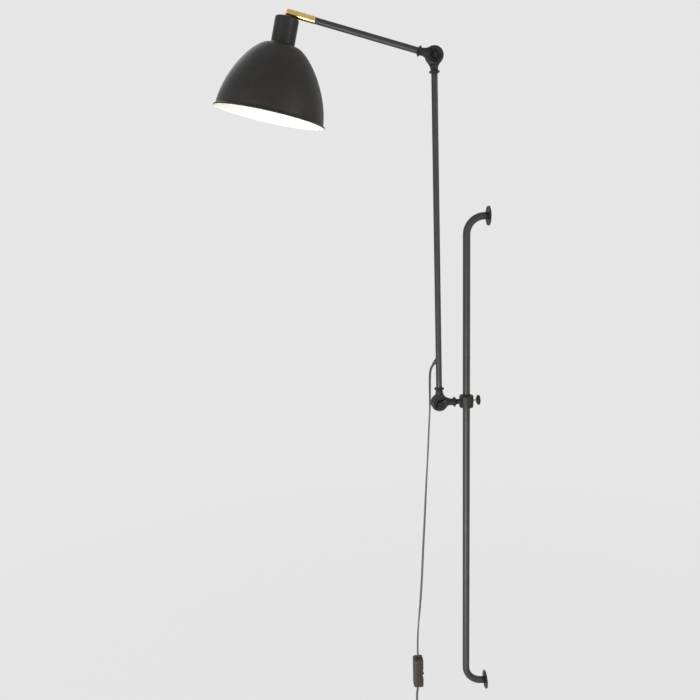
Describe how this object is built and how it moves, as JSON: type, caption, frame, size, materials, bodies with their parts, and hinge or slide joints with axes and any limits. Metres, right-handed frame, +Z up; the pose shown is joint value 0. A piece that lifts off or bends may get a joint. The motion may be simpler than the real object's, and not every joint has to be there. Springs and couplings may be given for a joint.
{
  "type": "articulating wall lamp",
  "caption": "Wall lamp with a bent wall bar, a sliding clamp, two jointed arms with friction knuckles, a tilting dome shade and a hanging cord with a switch.",
  "frame": {"origin": "centre of the top wall flange's back face, on the wall", "axes": "+Z up along the wall bar, the wall is the plane Y = 0 and the room lies towards -Y, +X along the wall"},
  "size_m": [0.2284, 0.5657, 1.7459],
  "materials": {
    "dark_enamel": "satin anthracite enamel",
    "brass": "satin turned brass",
    "steel": "plain zinc-plated steel",
    "plastic_bush": "nylon",
    "rubber": "soft moulded bush",
    "cord_sheath": "PVC sheath",
    "switch_plastic": "moulded thermoset",
    "plug_pin_plating": "nickel plate",
    "bulb_frosted_glass": "frosted",
    "bulb_cap_metal": "rolled thread cap"
  },
  "bodies": {
    "wall_mount": {"wall_bar": "dark_enamel", "top_flange": "dark_enamel", "bottom_flange": "dark_enamel"},
    "clamp_slider": {"clamp_bush": "plastic_bush"},
    "clamp": {"clamp_collar": "dark_enamel", "spigot": "dark_enamel", "lower_knuckle_rear": "dark_enamel", "lower_friction_washer": "plastic_bush", "cord_drop": "cord_sheath", "switch_front_shell": "switch_plastic", "switch_back_shell": "switch_plastic", "switch_screws": "steel", "cord_tail": "cord_sheath", "cord_coil": "cord_sheath", "coil_tie": "switch_plastic", "plug_body": "switch_plastic", "plug_pins": "plug_pin_plating"},
    "thumbscrew": {"clamp_screw": "brass", "clamp_knob": "dark_enamel"},
    "lower_arm": {"lower_knuckle_front": "dark_enamel", "lower_knuckle_bolt": "dark_enamel", "lower_nut_washer": "steel", "lower_arm_tube": "dark_enamel", "cord_bush": "rubber", "cord_entry": "cord_sheath", "cord_bend": "cord_sheath", "lower_arm_lead": "cord_sheath", "upper_knuckle_rear": "dark_enamel", "upper_friction_washer": "plastic_bush", "knuckle_lead": "cord_sheath"},
    "lower_wing": {"lower_wing_nut": "dark_enamel"},
    "upper_arm": {"upper_knuckle_front": "dark_enamel", "upper_knuckle_bolt": "dark_enamel", "upper_nut_washer": "steel", "upper_arm_tube": "dark_enamel", "brass_end_ring": "brass", "swivel_stud": "brass", "upper_arm_lead": "cord_sheath"},
    "upper_wing": {"upper_wing_nut": "dark_enamel"},
    "shade_swivel": {"brass_hinge_body": "brass", "hinge_grub_screw": "steel", "hinge_pin": "steel", "hinge_lead": "cord_sheath"},
    "shade_head": {"hinge_tongue": "brass", "shade_shell": "dark_enamel", "shade_nut": "steel", "lampholder": "switch_plastic", "lampholder_screw_shell": "brass", "lampholder_contact": "brass", "bulb_glass": "bulb_frosted_glass", "bulb_cap": "bulb_cap_metal"},
    "switch_rocker": {"switch_rocker": "switch_plastic"}
  },
  "joints": [
    {"name": "clamp_slide", "type": "slide", "parent": "wall_mount", "child": "clamp_slider", "axis": [0, 0, 1], "range_m": [-0.64, 0.34]},
    {"name": "clamp_swivel", "type": "hinge", "parent": "clamp_slider", "child": "clamp", "pos_m": [0, -0.0485, -0.406], "axis": [0, 0, 1], "range_deg": [-75, 75]},
    {"name": "thumbscrew_turn", "type": "hinge", "parent": "clamp", "child": "thumbscrew", "pos_m": [0, -0.0485, -0.4045], "axis": [0, 1, 0], "range_deg": [-180, 180]},
    {"name": "lower_tilt", "type": "hinge", "parent": "clamp", "child": "lower_arm", "pos_m": [0, -0.10965, -0.406], "axis": [1, 0, 0], "range_deg": [-2, 110], "deforming": ["cord_bend"]},
    {"name": "lower_wing_turn", "type": "hinge", "parent": "lower_arm", "child": "lower_wing", "pos_m": [0, -0.10965, -0.406], "axis": [1, 0, 0], "range_deg": [-180, 180]},
    {"name": "upper_tilt", "type": "hinge", "parent": "lower_arm", "child": "upper_arm", "pos_m": [0, -0.11602, 0.32397], "axis": [1, 0, 0], "range_deg": [-70, 50], "deforming": ["knuckle_lead"]},
    {"name": "upper_wing_turn", "type": "hinge", "parent": "upper_arm", "child": "upper_wing", "pos_m": [0, -0.11602, 0.32397], "axis": [1, 0, 0], "range_deg": [-180, 180]},
    {"name": "shade_swivel", "type": "hinge", "parent": "upper_arm", "child": "shade_swivel", "pos_m": [0, -0.40771, 0.40817], "axis": [0, -0.9608, 0.2773], "range_deg": [-90, 90]},
    {"name": "shade_tilt", "type": "hinge", "parent": "shade_swivel", "child": "shade_head", "pos_m": [0, -0.40771, 0.40817], "axis": [1, 0, 0], "range_deg": [-75, 3], "deforming": ["hinge_lead"]},
    {"name": "rocker", "type": "hinge", "parent": "clamp", "child": "switch_rocker", "pos_m": [0.0145, -0.1618, -1.0589], "axis": [1, 0, 0], "range_deg": [-28, 0]}
  ]
}
